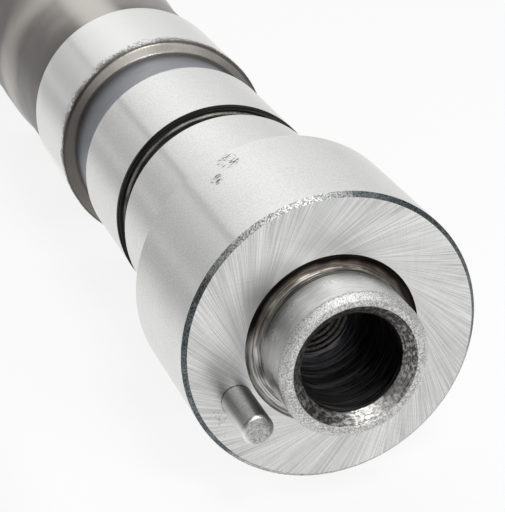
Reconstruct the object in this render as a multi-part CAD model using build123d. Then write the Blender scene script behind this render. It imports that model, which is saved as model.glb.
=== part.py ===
from build123d import *
from math import acos, cos, degrees, hypot, radians, sin, sqrt
import os

# Camshaft of a four-cylinder engine, two cams to a cylinder, cast in one piece and then turned and
# ground, with a steel dowel pin pressed into the face that carries the timing gear.
# The shaft lies along Y. Y = 0 is the gear face and the nose points to -Y. +Z is up, and the shaft is
# turned about its axis to the way it comes to rest: on its two large journals and two cam noses.

# Gear end
FRONT_JOURNAL_RADIUS = 24.0
FRONT_JOURNAL_LENGTH = 26.5
JOURNAL_CHAMFER = 0.75
NOSE_RADIUS = 12.0
NOSE_LENGTH = 10.0
NOSE_CHAMFER = 1.0
UNDERCUT_RADIUS = 14.1
UNDERCUT_LENGTH = 2.0
BOLT_BORE_RADIUS = 8.1
BOLT_BORE_DEPTH = 18.0
COUNTERSINK_RADIUS = 10.0
COUNTERSINK_DEPTH = 1.7
THREAD_CORE_RADIUS = 6.25
THREAD_CHAMFER = 0.7
THREAD_DEPTH = 30.0
DRILL_POINT_ANGLE = 118.0

# Dowel pin
DOWEL_RADIUS = 2.5
DOWEL_CIRCLE_RADIUS = 17.3
DOWEL_ANGLE = 207.0
DOWEL_STAND_OUT = 10.2
DOWEL_SEAT = 10.0
DOWEL_CHAMFER = 0.35
DOWEL_RELIEF_DEPTH = 0.2
DOWEL_RELIEF_WIDTH = 0.8
DOWEL_HOLE_END_GAP = 1.0

# Ground land behind the front journal, with its thrust groove
LAND_RADIUS = 19.0
LAND_END = 78.5
GROOVE_START = 51.1
GROOVE_WIDTH = 5.3
GROOVE_DEPTH = 1.7

# Cast shaft between the cams
NECK_RADIUS = 17.75
CORE_RADIUS = 19.5
HUB_RADIUS = 20.3
HUB_LENGTH = 19.4
HUB_FLARE_LENGTH = 12.0
CENTRE_JOURNAL_WIDTH = 22.0
REAR_NECK_LENGTH = 13.0
REAR_JOURNAL_LENGTH = 26.0
CENTRE_HOLE_RADIUS = 4.0
CENTRE_HOLE_ANGLE = 60.0
CENTRE_DRILL_RADIUS = 1.6
CENTRE_DRILL_LENGTH = 4.0

# Cams
CYLINDERS = 4
FIRING_ORDER = (1, 3, 4, 2)
FIRST_CAM_START = 91.2
CAM_WIDTH = 22.8
CAM_PITCH = 77.0
CYLINDER_PITCH = 137.0
BASE_CIRCLE_RADIUS = 20.4
CAM_LIFT = 8.0
CAM_NOSE_RADIUS = 9.0
CAM_FLANK_RADIUS = 60.0
CAM_SEPARATION_ANGLE = 101.3
CAST_FLANK_ANGLE = 70.0
CAST_FLANK_DEPTH = 2.4

DOWN_ANGLE = 270.0
CAM_NOSE_OFFSET = BASE_CIRCLE_RADIUS + CAM_LIFT - CAM_NOSE_RADIUS
# The nose of the first cam stands this far round from straight down when the journals and it touch a table.
REST_ANGLE = degrees(acos((FRONT_JOURNAL_RADIUS - CAM_NOSE_RADIUS) / CAM_NOSE_OFFSET))
FIRST_CAM_ANGLE = DOWN_ANGLE + REST_ANGLE
LAST_CAM_END = FIRST_CAM_START + (CYLINDERS - 1) * CYLINDER_PITCH + CAM_PITCH + CAM_WIDTH
REAR_JOURNAL_START = LAST_CAM_END + REAR_NECK_LENGTH
SHAFT_END = REAR_JOURNAL_START + REAR_JOURNAL_LENGTH


def turned(*outline):
    """A solid turned about the Y axis from (radius, Y) points that start and end on the axis."""
    return revolve(make_face(Polyline(*outline, close=True)), Axis.Y)


def ring(radius, start, end, front_chamfer=0.0, rear_chamfer=0.0):
    """A round length of shaft, with a chamfer at either end."""
    outline = [(0, start), (radius - front_chamfer, start)]
    if front_chamfer:
        outline.append((radius, start + front_chamfer))
    outline.append((radius, end - rear_chamfer))
    if rear_chamfer:
        outline.append((radius - rear_chamfer, end))
    outline.append((0, end))
    return turned(*outline)


def drilled(radius, start, depth, point_angle):
    """A drilled hole that runs towards +Y and ends in the cone left by the drill."""
    point = radius / sin(radians(point_angle / 2)) * cos(radians(point_angle / 2))
    return turned((0, start), (radius, start), (radius, start + depth), (0, start + depth + point))


def cam_outline():
    """Base circle, convex flanks and nose of one cam, its nose towards +X, as a face on XY."""
    nose_centre = Vector(CAM_NOSE_OFFSET, 0)
    to_base = CAM_FLANK_RADIUS - BASE_CIRCLE_RADIUS
    to_nose = CAM_FLANK_RADIUS - CAM_NOSE_RADIUS
    flank_x = (to_base**2 - to_nose**2 + CAM_NOSE_OFFSET**2) / (2 * CAM_NOSE_OFFSET)
    flank_centre = Vector(flank_x, -sqrt(to_base**2 - flank_x**2))
    on_base = flank_centre * (-BASE_CIRCLE_RADIUS / to_base)
    on_nose = nose_centre + (nose_centre - flank_centre) * (CAM_NOSE_RADIUS / to_nose)
    middle = (on_base + on_nose) * 0.5 - flank_centre
    on_flank = flank_centre + middle * (CAM_FLANK_RADIUS / middle.length)

    def below(point):
        return Vector(point.X, -point.Y)

    edges = [
        ThreePointArc(on_base, on_flank, on_nose),
        ThreePointArc(on_nose, nose_centre + Vector(CAM_NOSE_RADIUS, 0), below(on_nose)),
        ThreePointArc(below(on_nose), below(on_flank), below(on_base)),
        ThreePointArc(below(on_base), Vector(-BASE_CIRCLE_RADIUS, 0), on_base),
    ]
    return make_face(edges)


def cam(start, angle):
    """One cam from its front face at Y = start, nose at the given angle from +X towards +Z."""
    outline = cam_outline()
    shrink = CAST_FLANK_DEPTH * sin(radians(CAST_FLANK_ANGLE)) / cos(radians(CAST_FLANK_ANGLE))
    small = offset(outline, -shrink)
    track = extrude(outline, CAM_WIDTH)
    front = loft([small.moved(Location((0, 0, -CAST_FLANK_DEPTH))), outline], ruled=True)
    rear = loft([outline.moved(Location((0, 0, CAM_WIDTH))),
                 small.moved(Location((0, 0, CAM_WIDTH + CAST_FLANK_DEPTH)))], ruled=True)
    # XY of the outline becomes XZ of the shaft, and its height runs along +Y.
    across = Plane(origin=(0, start, 0), x_dir=(cos(radians(angle)), 0, sin(radians(angle))), z_dir=(0, 1, 0))
    return across * (track + front + rear)


def cam_starts():
    """(exhaust start, inlet start) of each cylinder's two cams, from the gear end."""
    first_starts = [FIRST_CAM_START + cylinder * CYLINDER_PITCH for cylinder in range(CYLINDERS)]
    return [(start, start + CAM_PITCH) for start in first_starts]


def cam_places():
    """(start, nose angle) of each cam, the exhaust cam of a cylinder first and then its inlet cam."""
    places = []
    for cylinder, (exhaust_start, inlet_start) in enumerate(cam_starts(), start=1):
        angle = FIRST_CAM_ANGLE + FIRING_ORDER.index(cylinder) * 360 / CYLINDERS
        places.append((exhaust_start, angle))
        places.append((inlet_start, angle + CAM_SEPARATION_ANGLE))
    return places


def core(start, end):
    """The cast core between a cylinder's two cams, flared into a hub in front of the second one."""
    flare_end = end - HUB_LENGTH
    flare_start = flare_end - HUB_FLARE_LENGTH
    middle = ((CORE_RADIUS + HUB_RADIUS) / 2, (flare_start + flare_end) / 2)
    outline = [
        Polyline((0, start), (CORE_RADIUS, start), (CORE_RADIUS, flare_start)),
        TangentArc((CORE_RADIUS, flare_start), middle, tangent=(0, 1)),
        TangentArc((HUB_RADIUS, flare_end), middle, tangent=(0, -1)),
        Polyline((HUB_RADIUS, flare_end), (HUB_RADIUS, end), (0, end), (0, start)),
    ]
    return revolve(make_face(outline), Axis.Y)


def shaft_lengths():
    """The round lengths of the shaft: both ends, necks, the cores between cams and the small journals."""
    lengths = [
        ring(FRONT_JOURNAL_RADIUS, 0, FRONT_JOURNAL_LENGTH, JOURNAL_CHAMFER, JOURNAL_CHAMFER),
        ring(LAND_RADIUS, FRONT_JOURNAL_LENGTH, LAND_END),
        ring(NECK_RADIUS, LAND_END, REAR_JOURNAL_START),
        ring(FRONT_JOURNAL_RADIUS, REAR_JOURNAL_START, SHAFT_END, JOURNAL_CHAMFER, JOURNAL_CHAMFER),
    ]
    starts = cam_starts()
    for exhaust_start, inlet_start in starts:
        lengths.append(core(exhaust_start + CAM_WIDTH, inlet_start))
    for (_, inlet_start), (next_start, _) in zip(starts, starts[1:]):
        start = (inlet_start + CAM_WIDTH + next_start - CENTRE_JOURNAL_WIDTH) / 2
        end = start + CENTRE_JOURNAL_WIDTH
        lengths.append(ring(LAND_RADIUS, start, end, JOURNAL_CHAMFER, JOURNAL_CHAMFER))
    return lengths


def gear_end_cuts():
    """Everything cut into the gear end: undercut, bolt bore, tapped hole, dowel hole and groove."""
    # The undercut is a round groove through the corner between nose and gear face, a little into each.
    undercut_middle = ((NOSE_RADIUS + UNDERCUT_RADIUS) / 2, -UNDERCUT_LENGTH / 2)
    undercut = Pos(*undercut_middle) * Circle(hypot(UNDERCUT_RADIUS - NOSE_RADIUS, UNDERCUT_LENGTH) / 2)
    bore_end = BOLT_BORE_DEPTH - NOSE_LENGTH
    bore = turned(
        (0, -NOSE_LENGTH),
        (COUNTERSINK_RADIUS, -NOSE_LENGTH),
        (BOLT_BORE_RADIUS, COUNTERSINK_DEPTH - NOSE_LENGTH),
        (BOLT_BORE_RADIUS, bore_end),
        (THREAD_CORE_RADIUS + THREAD_CHAMFER, bore_end),
        (THREAD_CORE_RADIUS, bore_end + THREAD_CHAMFER),
        (0, bore_end + THREAD_CHAMFER),
    )
    groove_end = GROOVE_START + GROOVE_WIDTH
    groove = ring(FRONT_JOURNAL_RADIUS, GROOVE_START, groove_end)
    groove -= ring(LAND_RADIUS - GROOVE_DEPTH, GROOVE_START, groove_end)
    return [
        revolve(undercut, Axis.Y),
        bore,
        drilled(THREAD_CORE_RADIUS, bore_end, THREAD_DEPTH, DRILL_POINT_ANGLE),
        along_dowel(Cylinder(DOWEL_RADIUS, DOWEL_SEAT + DOWEL_HOLE_END_GAP, align=STANDING)),
        groove,
    ]


def rear_centre():
    """The centre hole in the rear end, a drilled pilot with a cone for the grinder's centre."""
    cone = CENTRE_HOLE_RADIUS / sin(radians(CENTRE_HOLE_ANGLE / 2)) * cos(radians(CENTRE_HOLE_ANGLE / 2))
    pilot = ring(CENTRE_DRILL_RADIUS, SHAFT_END - cone - CENTRE_DRILL_LENGTH, SHAFT_END)
    return turned((0, SHAFT_END - cone), (CENTRE_HOLE_RADIUS, SHAFT_END), (0, SHAFT_END)) + pilot


STANDING = (Align.CENTER, Align.CENTER, Align.MIN)


def along_dowel(shape):
    """Moves a shape that stands on XY to the dowel's place, its foot on the gear face, height into the shaft."""
    across = DOWEL_CIRCLE_RADIUS * cos(radians(DOWEL_ANGLE))
    up = DOWEL_CIRCLE_RADIUS * sin(radians(DOWEL_ANGLE))
    return Plane(origin=(across, 0, up), x_dir=(1, 0, 0), z_dir=(0, 1, 0)) * shape


def make_camshaft():
    nose = ring(NOSE_RADIUS, -NOSE_LENGTH, FRONT_JOURNAL_LENGTH, NOSE_CHAMFER)
    camshaft = nose.fuse(*shaft_lengths(), *[cam(start, angle) for start, angle in cam_places()])
    return camshaft.cut(*gear_end_cuts(), rear_centre())


def make_dowel_pin():
    """The pin's foot lies at -stand out, and its relief starts at the gear face and runs into the hole."""
    length = DOWEL_STAND_OUT + DOWEL_SEAT
    pin = chamfer(Cylinder(DOWEL_RADIUS, length, align=STANDING).edges().filter_by(GeomType.CIRCLE), DOWEL_CHAMFER)
    relief = Cylinder(DOWEL_RADIUS, DOWEL_RELIEF_WIDTH, align=STANDING)
    relief -= Cylinder(DOWEL_RADIUS - DOWEL_RELIEF_DEPTH, DOWEL_RELIEF_WIDTH, align=STANDING)
    return along_dowel(pin.moved(Location((0, 0, -DOWEL_STAND_OUT))) - relief)


PARTS = {
    "camshaft": make_camshaft(),
    "dowel_pin": make_dowel_pin(),
}

os.makedirs("parts", exist_ok=True)
for name, shape in PARTS.items():
    export_step(shape, f"parts/{name}.step")
    print(name, "volume", round(shape.volume), "mm3, centre", shape.center())
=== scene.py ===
"""A camshaft and its dowel pin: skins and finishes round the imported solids, on a pale studio floor."""
import math

import bmesh
import bpy
from mathutils import Matrix, Vector, noise


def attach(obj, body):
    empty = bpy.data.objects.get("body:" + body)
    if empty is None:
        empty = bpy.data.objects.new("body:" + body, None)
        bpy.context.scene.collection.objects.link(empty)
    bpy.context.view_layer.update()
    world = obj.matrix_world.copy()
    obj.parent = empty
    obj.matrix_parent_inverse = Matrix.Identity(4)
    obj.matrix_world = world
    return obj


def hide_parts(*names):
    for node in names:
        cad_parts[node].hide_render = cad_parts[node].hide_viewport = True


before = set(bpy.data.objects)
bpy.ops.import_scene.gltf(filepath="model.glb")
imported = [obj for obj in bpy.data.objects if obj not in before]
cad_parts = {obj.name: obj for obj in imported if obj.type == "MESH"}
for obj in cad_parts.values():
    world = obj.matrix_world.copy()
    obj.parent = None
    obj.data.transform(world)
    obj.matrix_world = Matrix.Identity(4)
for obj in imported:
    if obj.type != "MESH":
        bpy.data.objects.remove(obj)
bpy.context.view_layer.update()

# Sizes of the camshaft in metres, the same as its solids. The shaft lies along Y, nose towards -Y.
MM = 0.001
JOURNAL = 24.0 * MM
JOURNAL_LENGTH = 26.5 * MM
JOURNAL_CHAMFER = 0.75 * MM
NOSE = 12.0 * MM
NOSE_LENGTH = 10.0 * MM
NOSE_CHAMFER = 1.0 * MM
UNDERCUT = 14.1 * MM
UNDERCUT_LENGTH = 2.0 * MM
BORE = 8.1 * MM
BORE_DEPTH = 18.0 * MM
COUNTERSINK = 10.0 * MM
COUNTERSINK_DEPTH = 1.7 * MM
THREAD_CORE = 6.25 * MM
THREAD_CHAMFER = 0.7 * MM
THREAD_DEPTH = 30.0 * MM
DRILL_POINT = 3.7 * MM
LAND = 19.0 * MM
LAND_END = 78.5 * MM
GROOVE_START = 51.1 * MM
GROOVE_WIDTH = 5.3 * MM
GROOVE_DEPTH = 1.7 * MM
NECK = 17.75 * MM
CORE = 19.5 * MM
HUB = 20.3 * MM
HUB_LENGTH = 19.4 * MM
HUB_FLARE_LENGTH = 12.0 * MM
SMALL_JOURNAL_WIDTH = 22.0 * MM
REAR_NECK = 13.0 * MM
REAR_JOURNAL_LENGTH = 26.0 * MM
CENTRE_HOLE = 4.0 * MM
CENTRE_HOLE_DEPTH = 6.9 * MM
CENTRE_DRILL = 1.6 * MM
CENTRE_DRILL_DEPTH = 4.0 * MM
CYLINDERS = 4
FIRING_ORDER = (1, 3, 4, 2)
FIRST_CAM = 91.2 * MM
CAM_WIDTH = 22.8 * MM
CAM_PITCH = 77.0 * MM
CYLINDER_PITCH = 137.0 * MM
BASE_CIRCLE = 20.4 * MM
CAM_LIFT = 8.0 * MM
CAM_NOSE = 9.0 * MM
CAM_FLANK = 60.0 * MM
CAM_SEPARATION = math.radians(101.3)
CAST_FLANK_DEPTH = 1.0 * MM
PIN = 2.5 * MM
PIN_CIRCLE = 17.3 * MM
PIN_ANGLE = math.radians(207.0)
PIN_STAND_OUT = 10.2 * MM
PIN_CHAMFER = 0.35 * MM
PIN_SEAT = 10.0 * MM
PIN_RELIEF_DEPTH = 0.2 * MM
PIN_RELIEF_WIDTH = 0.8 * MM
PIN_HOLE_DEPTH = 11.0 * MM

PIN_CENTRE = (PIN_CIRCLE * math.cos(PIN_ANGLE), PIN_CIRCLE * math.sin(PIN_ANGLE))
CAM_NOSE_OFFSET = BASE_CIRCLE + CAM_LIFT - CAM_NOSE
REST_ANGLE = math.acos((JOURNAL - CAM_NOSE) / CAM_NOSE_OFFSET)
FIRST_CAM_ANGLE = math.radians(270.0) + REST_ANGLE
LAST_CAM_END = FIRST_CAM + (CYLINDERS - 1) * CYLINDER_PITCH + CAM_PITCH + CAM_WIDTH
REAR_JOURNAL = LAST_CAM_END + REAR_NECK
SHAFT_END = REAR_JOURNAL + REAR_JOURNAL_LENGTH

# Small forms that only the skins have, and how finely the skins are divided. The thread's half width is a share
# of its pitch. The fractal is (roughness, lacunarity, octaves). A closing ring is a share of its end's radius.
THREAD_PITCH = 1.5 * MM
THREAD_HEIGHT = 0.75 * MM
THREAD_HALF_WIDTH = 0.42
THREAD_ROWS_PER_TURN = 5
THREAD_RUN_IN_ROWS = 6
UNDERCUT_STEPS = 24
UNDERCUT_RIDGE = 0.03 * MM
GROOVE_FILLET = 0.45 * MM
GROOVE_FILLET_STEPS = 5
CAST_UNEVEN = 0.05 * MM
CAST_UNEVEN_LENGTH = 5.0 * MM
CAST_UNEVEN_FRACTAL = (0.6, 2.0, 3)
CAST_FLANK_SHARES = (0.0, 0.3, 0.7, 0.95)
CORE_ROW_SPACING = 1.6 * MM
CAM_TRACK_STEPS = 5
PIN_HOLE_GAP = 0.06 * MM
HOLE_TOLERANCE = 1.001
SOFT_EDGE = 0.15 * MM
CLOSING_RING = 0.02
SEGMENTS = 200
PIN_SEGMENTS = 96


def cam_radius(angle):
    """Distance from the shaft's axis to the cam's outline, at an angle from the cam's nose."""
    to_base = CAM_FLANK - BASE_CIRCLE
    to_nose = CAM_FLANK - CAM_NOSE
    flank_x = (to_base**2 - to_nose**2 + CAM_NOSE_OFFSET**2) / (2 * CAM_NOSE_OFFSET)
    flank_y = -math.sqrt(to_base**2 - flank_x**2)
    base_turn = math.atan2(-flank_y, -flank_x)
    nose_x = CAM_NOSE_OFFSET + (CAM_NOSE_OFFSET - flank_x) * CAM_NOSE / to_nose
    nose_turn = math.atan2(-flank_y * CAM_NOSE / to_nose, nose_x)
    turn = abs(math.remainder(angle, 2 * math.pi))
    if turn >= base_turn:
        return BASE_CIRCLE
    if turn <= nose_turn:
        centre_x, centre_y, radius = CAM_NOSE_OFFSET, 0.0, CAM_NOSE
    else:
        centre_x, centre_y, radius = flank_x, flank_y, CAM_FLANK
    along = centre_x * math.cos(turn) + centre_y * math.sin(turn)
    return along + math.sqrt(radius**2 - centre_x**2 - centre_y**2 + along**2)


def cam_places():
    """(start, nose angle) of each cam, as in the solids."""
    for cylinder in range(1, CYLINDERS + 1):
        turn = FIRING_ORDER.index(cylinder) * 2 * math.pi / CYLINDERS
        start = FIRST_CAM + (cylinder - 1) * CYLINDER_PITCH
        yield start, FIRST_CAM_ANGLE + turn
        yield start + CAM_PITCH, FIRST_CAM_ANGLE + turn + CAM_SEPARATION


# The functions below give rows for a skin. A row is (Y, radius, finish of the band after it, sharp). The radius
# is a length or a function of the angle round the shaft.


def thread_radius(y, height):
    """The tapped hole's radius at Y, with a thread of this height cut outwards from the core."""

    def at(angle):
        turn = (y / THREAD_PITCH - angle / (2 * math.pi)) % 1.0
        return THREAD_CORE + height * max(0.0, 1.0 - abs(turn - 0.5) / THREAD_HALF_WIDTH)

    return at


def thread_rows(end):
    """Rows along the tapped hole from its bottom out. The thread runs in to its full height at the bottom."""
    rows = []
    steps = round((THREAD_DEPTH - THREAD_CHAMFER) / (THREAD_PITCH / THREAD_ROWS_PER_TURN))
    for step in range(1, steps):
        y = end - (THREAD_DEPTH - THREAD_CHAMFER) * step / steps
        height = THREAD_HEIGHT * min(1.0, step / THREAD_RUN_IN_ROWS)
        rows.append((y, thread_radius(y, height), "thread", False))
    return rows


def bore_rows():
    """Rows from the bottom of the tapped hole out through the bore and over the nose."""
    shoulder = BORE_DEPTH - NOSE_LENGTH
    end = shoulder + THREAD_DEPTH
    mouth = COUNTERSINK_DEPTH - NOSE_LENGTH
    tip = -NOSE_LENGTH
    return [
        (end + DRILL_POINT * (1 - CLOSING_RING), THREAD_CORE * CLOSING_RING, "bore", False),
        (end, THREAD_CORE, "thread", True),
        *thread_rows(end),
        (shoulder + THREAD_CHAMFER, THREAD_CORE, "bore", True),
        (shoulder, THREAD_CORE + THREAD_CHAMFER, "wall", True),
        (shoulder, BORE, "bore", True),
        (mouth + SOFT_EDGE, BORE, "cone", False),
        (mouth, BORE + SOFT_EDGE, "cone", False),
        (tip + SOFT_EDGE / 2, COUNTERSINK - SOFT_EDGE / 2, "tip", False),
        (tip, COUNTERSINK + SOFT_EDGE / 2, "tip", False),
        (tip, NOSE - NOSE_CHAMFER - SOFT_EDGE / 2, "tip", False),
        (tip + SOFT_EDGE / 2, NOSE - NOSE_CHAMFER + SOFT_EDGE / 2, "bevel", False),
        (tip + NOSE_CHAMFER - SOFT_EDGE, NOSE - SOFT_EDGE, "bevel", False),
        (tip + NOSE_CHAMFER + SOFT_EDGE, NOSE, "nose", False),
    ]


def undercut_rows():
    """Rows over the undercut, a round groove through the corner between nose and gear face, with ridges."""
    centre_y, centre_radius = -UNDERCUT_LENGTH / 2, (NOSE + UNDERCUT) / 2
    tube = math.hypot(UNDERCUT - NOSE, UNDERCUT_LENGTH) / 2
    start = math.atan2(-UNDERCUT_LENGTH, NOSE - UNDERCUT)
    rows = []
    for step in range(UNDERCUT_STEPS + 1):
        turn = start - math.pi * step / UNDERCUT_STEPS
        reach = tube - (UNDERCUT_RIDGE if step % 2 else 0.0)
        ends = step in (0, UNDERCUT_STEPS)
        y, radius = centre_y + reach * math.sin(turn), centre_radius + reach * math.cos(turn)
        rows.append((y, radius, "undercut", ends))
    return rows


def groove_fillet_rows(end, floor):
    """Rows over the fillet between the groove's floor and its rear wall."""
    rows = []
    for step in range(GROOVE_FILLET_STEPS + 1):
        turn = math.pi / 2 * step / GROOVE_FILLET_STEPS
        y = end - GROOVE_FILLET * (1 - math.sin(turn))
        finish = "fillet" if step < GROOVE_FILLET_STEPS else "wall"
        rows.append((y, floor + GROOVE_FILLET * (1 - math.cos(turn)), finish, False))
    return rows


def gear_end_rows():
    """Rows over the gear face, the front journal and the land with its groove, up to the neck."""
    groove_end = GROOVE_START + GROOVE_WIDTH
    groove_floor = LAND - GROOVE_DEPTH
    rows = undercut_rows()
    rows[-1] = (0.0, UNDERCUT, "face", True)
    return rows + [
        (0.0, JOURNAL - JOURNAL_CHAMFER, "edge", True),
        (JOURNAL_CHAMFER, JOURNAL, "ground", True),
        (JOURNAL_LENGTH - JOURNAL_CHAMFER, JOURNAL, "edge", True),
        (JOURNAL_LENGTH, JOURNAL - JOURNAL_CHAMFER, "wall", True),
        (JOURNAL_LENGTH, LAND, "ground", True),
        (GROOVE_START - SOFT_EDGE, LAND, "ground", False),
        (GROOVE_START, LAND - SOFT_EDGE, "wall", False),
        (GROOVE_START, groove_floor + SOFT_EDGE, "wall", False),
        (GROOVE_START + SOFT_EDGE, groove_floor, "wall", False),
        *groove_fillet_rows(groove_end, groove_floor),
        (groove_end, LAND - SOFT_EDGE, "wall", False),
        (groove_end + SOFT_EDGE, LAND, "ground", False),
        (LAND_END - SOFT_EDGE, LAND, "ground", False),
        (LAND_END, LAND - SOFT_EDGE, "neck", False),
        (LAND_END, NECK, "neck", True),
    ]


def cam_rows(start, angle, before, after):
    """Rows over one cam, from the shaft's radius before it to the radius behind it."""

    def outline(inset):
        return lambda turn: cam_radius(turn - angle) - inset

    def flank(share, radius):
        return lambda turn: radius + (cam_radius(turn - angle) - radius) * share

    end = start + CAM_WIDTH
    rows = []
    for share in CAST_FLANK_SHARES:
        rows.append((start - CAST_FLANK_DEPTH * (1 - share), flank(share, before), "cast", False))
    rows.append((start, outline(SOFT_EDGE), "track", False))
    rows.append((start + SOFT_EDGE, outline(0.0), "track", False))
    for step in range(1, CAM_TRACK_STEPS):
        rows.append((start + CAM_WIDTH * step / CAM_TRACK_STEPS, outline(0.0), "track", False))
    rows.append((end - SOFT_EDGE, outline(0.0), "track", False))
    rows.append((end, outline(SOFT_EDGE), "cast", False))
    for share in reversed(CAST_FLANK_SHARES):
        rows.append((end + CAST_FLANK_DEPTH * (1 - share), flank(share, after), "cast", False))
    return rows


def cast_radius(y, radius):
    """The radius of a cast length at Y, uneven by a few hundredths of a millimetre as the mould left it."""

    def at(turn):
        place = Vector((math.cos(turn) * radius, y, math.sin(turn) * radius)) / CAST_UNEVEN_LENGTH
        return radius + CAST_UNEVEN * noise.fractal(place, *CAST_UNEVEN_FRACTAL)

    return at


def core_rows(start, end):
    """Rows over the cast core between a cylinder's two cams, which flares into a hub in front of the second."""
    flare_end = end - HUB_LENGTH
    flare_start = flare_end - HUB_FLARE_LENGTH
    rows = []
    steps = round((end - start) / CORE_ROW_SPACING)
    for step in range(1, steps):
        y = start + (end - start) * step / steps
        share = min(max((y - flare_start) / (flare_end - flare_start), 0.0), 1.0)
        rise = share * share * (3 - 2 * share)
        rows.append((y, cast_radius(y, CORE + (HUB - CORE) * rise), "cast", False))
    return rows


def small_journal_rows(middle):
    """Rows over one small journal, from the neck in front of it to the neck behind it."""
    half = SMALL_JOURNAL_WIDTH / 2
    return [
        (middle - half, NECK, "wall", True),
        (middle - half, LAND - JOURNAL_CHAMFER, "edge", True),
        (middle - half + JOURNAL_CHAMFER, LAND, "ground", True),
        (middle + half - JOURNAL_CHAMFER, LAND, "edge", True),
        (middle + half, LAND - JOURNAL_CHAMFER, "wall", True),
        (middle + half, NECK, "neck", True),
    ]


def cam_section_rows():
    """Rows over all the cams, the cast cores between them and the small journals."""
    rows = []
    for number, (start, angle) in enumerate(cam_places()):
        if number % 2 == 0:
            rows += cam_rows(start, angle, NECK, CORE)
            front = start + CAM_WIDTH + CAST_FLANK_DEPTH
            rows += core_rows(front, start + CAM_PITCH - CAST_FLANK_DEPTH)
            continue
        rows += cam_rows(start, angle, HUB, NECK)
        rows[-1] = rows[-1][:2] + ("neck", False)
        if number < 2 * CYLINDERS - 1:
            rows += small_journal_rows(start + (CAM_WIDTH + CYLINDER_PITCH - CAM_PITCH) / 2)
    return rows


def rear_rows():
    """Rows over the rear journal and its face to the bottom of the centre hole."""
    drill_end = SHAFT_END - CENTRE_HOLE_DEPTH - CENTRE_DRILL_DEPTH
    return [
        (REAR_JOURNAL, NECK, "wall", True),
        (REAR_JOURNAL, JOURNAL - JOURNAL_CHAMFER, "edge", True),
        (REAR_JOURNAL + JOURNAL_CHAMFER, JOURNAL, "ground", True),
        (SHAFT_END - JOURNAL_CHAMFER, JOURNAL, "edge", True),
        (SHAFT_END, JOURNAL - JOURNAL_CHAMFER, "face", True),
        (SHAFT_END, CENTRE_HOLE, "cone", True),
        (SHAFT_END - CENTRE_HOLE_DEPTH * (1 - CENTRE_DRILL / CENTRE_HOLE), CENTRE_DRILL, "bore", True),
        (drill_end, CENTRE_DRILL, "bore", True),
        (drill_end - CENTRE_DRILL / 2, CENTRE_DRILL * CLOSING_RING, "bore", False),
    ]


def pin_rows():
    """Rows along the dowel pin from its free end, over the relief at its foot, to its seat's end."""
    tip = -PIN_STAND_OUT
    relief = PIN - PIN_RELIEF_DEPTH
    return [
        (tip + SOFT_EDGE / 2, PIN * CLOSING_RING, "pin_end", False),
        (tip + SOFT_EDGE / 3, PIN / 2, "pin_end", False),
        (tip, PIN - PIN_CHAMFER - SOFT_EDGE, "pin_end", False),
        (tip + SOFT_EDGE / 2, PIN - PIN_CHAMFER, "pin_bevel", False),
        (tip + PIN_CHAMFER, PIN - SOFT_EDGE / 4, "pin_side", False),
        (tip + PIN_CHAMFER + SOFT_EDGE, PIN, "pin_side", False),
        (-SOFT_EDGE, PIN, "pin_side", False),
        (0.0, PIN - SOFT_EDGE / 2, "pin_side", False),
        (SOFT_EDGE, relief, "pin_side", False),
        (PIN_RELIEF_WIDTH, relief, "pin_side", True),
        (PIN_RELIEF_WIDTH, PIN, "pin_side", True),
        (PIN_SEAT - PIN_CHAMFER, PIN, "pin_side", True),
        (PIN_SEAT, PIN - PIN_CHAMFER, "pin_end", True),
        (PIN_SEAT, PIN * CLOSING_RING, "pin_end", False),
    ]


def add_ring(form, y, radius, segments, centre):
    """One ring of points at Y round a centre in XZ."""
    ring = []
    for step in range(segments):
        turn = 2 * math.pi * step / segments
        reach = radius(turn) if callable(radius) else radius
        ring.append(form.verts.new((centre[0] + reach * math.cos(turn), y, centre[1] + reach * math.sin(turn))))
    return ring


def add_face(form, points, look):
    face = form.faces.new(points)
    face.smooth = True
    face.material_index = look


def skin(name, rows, finishes, segments, centre=(0.0, 0.0)):
    """A closed skin of rings along Y round a centre in XZ, one for each row, with a finish for each band."""
    form = bmesh.new()
    rings = [add_ring(form, row[0], row[1], segments, centre) for row in rows]
    looks = [finishes.index(row[2]) for row in rows]
    for look, near, far in zip(looks, rings, rings[1:]):
        for step in range(segments):
            after = (step + 1) % segments
            add_face(form, (near[step], far[step], far[after], near[after]), look)
    add_face(form, rings[0], looks[0])
    add_face(form, rings[-1], looks[-2])
    for ring, row in zip(rings, rows):
        if row[3]:
            for step in range(segments):
                form.edges.get((ring[step], ring[(step + 1) % segments])).smooth = False
    bmesh.ops.recalc_face_normals(form, faces=form.faces)
    mesh = bpy.data.meshes.new(name)
    form.to_mesh(mesh)
    form.free()
    piece = bpy.data.objects.new(name, mesh)
    bpy.context.scene.collection.objects.link(piece)
    return piece


def keep_flats(piece):
    """Weights the normals by area, so that long faces shade straight and only the small bevels turn."""
    weights = piece.modifiers.new("flats", "WEIGHTED_NORMAL")
    weights.keep_sharp = True


def mark_cam_fronts(piece):
    """Stores how far each point lies behind the front edge of its cam, in mm, for the edge of the cast skin."""
    starts = [start for start, _ in cam_places()]
    behind = piece.data.attributes.new("behind_cam_front", "FLOAT", "POINT")
    for vertex, value in zip(piece.data.vertices, behind.data):
        distances = [vertex.co.y - start for start in starts if vertex.co.y > start - CAST_FLANK_DEPTH]
        value.value = min(distances, default=0.0) / MM


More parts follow.
